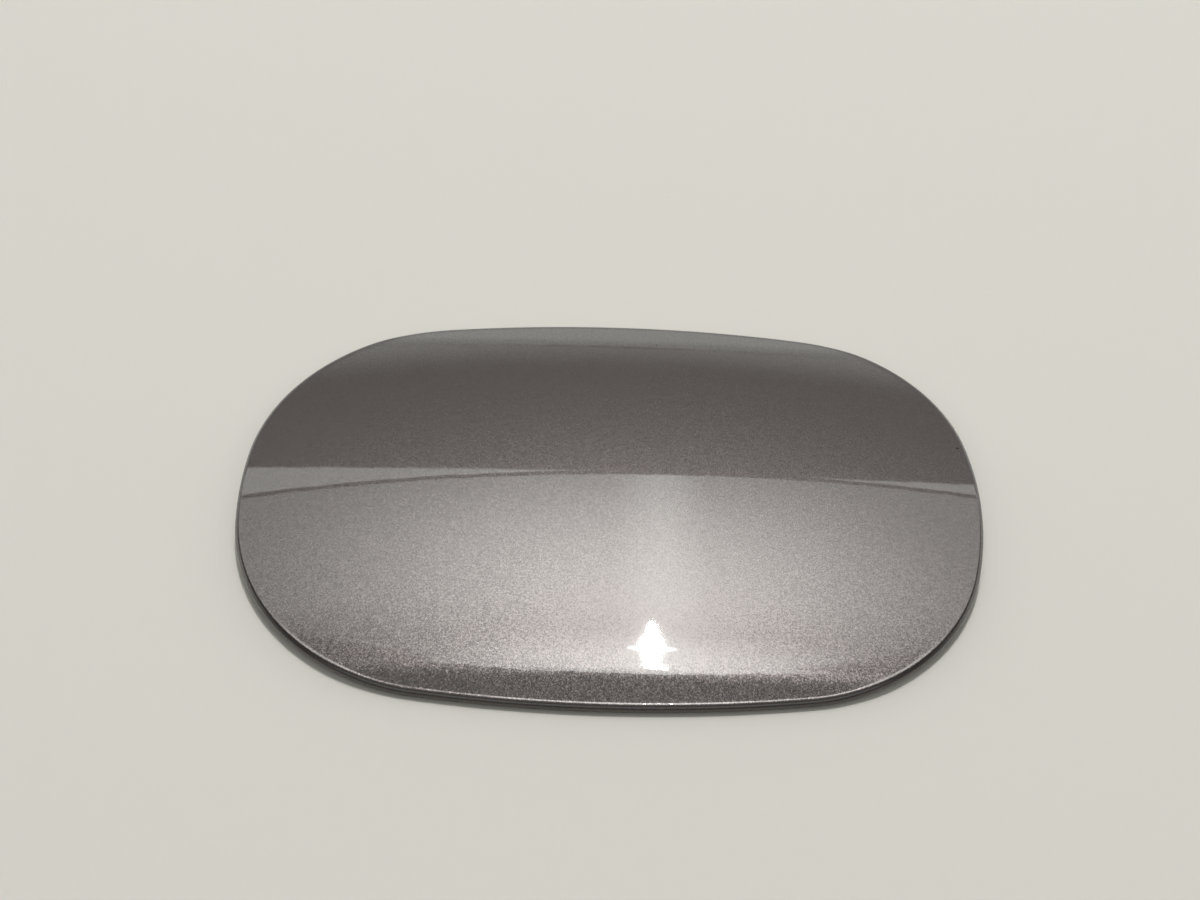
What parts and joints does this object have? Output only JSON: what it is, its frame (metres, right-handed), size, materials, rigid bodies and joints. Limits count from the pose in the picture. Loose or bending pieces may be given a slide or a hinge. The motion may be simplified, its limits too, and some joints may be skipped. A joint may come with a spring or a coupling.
{
  "type": "fuel filler flap",
  "caption": "Wide oval fuel filler flap: a crowned, painted steel skin hemmed round an inner panel with weld nuts for its hinge arm.",
  "frame": {"origin": "middle of the flap in plan, on the surface that its hem stands on when it lies face up", "axes": "+X along the flap towards its hinge end, +Y across it, +Z out of the painted face"},
  "size_m": [0.19, 0.129, 0.0082],
  "materials": {
    "paint": "metallic base coat under a glossy clear coat",
    "inner_paint": "thin metallic paint, less gloss",
    "zinc_steel": "zinc plated"
  },
  "bodies": {
    "root": {"outer_skin": "paint", "inner_panel": "inner_paint", "weld_nuts": "zinc_steel"}
  },
  "joints": []
}
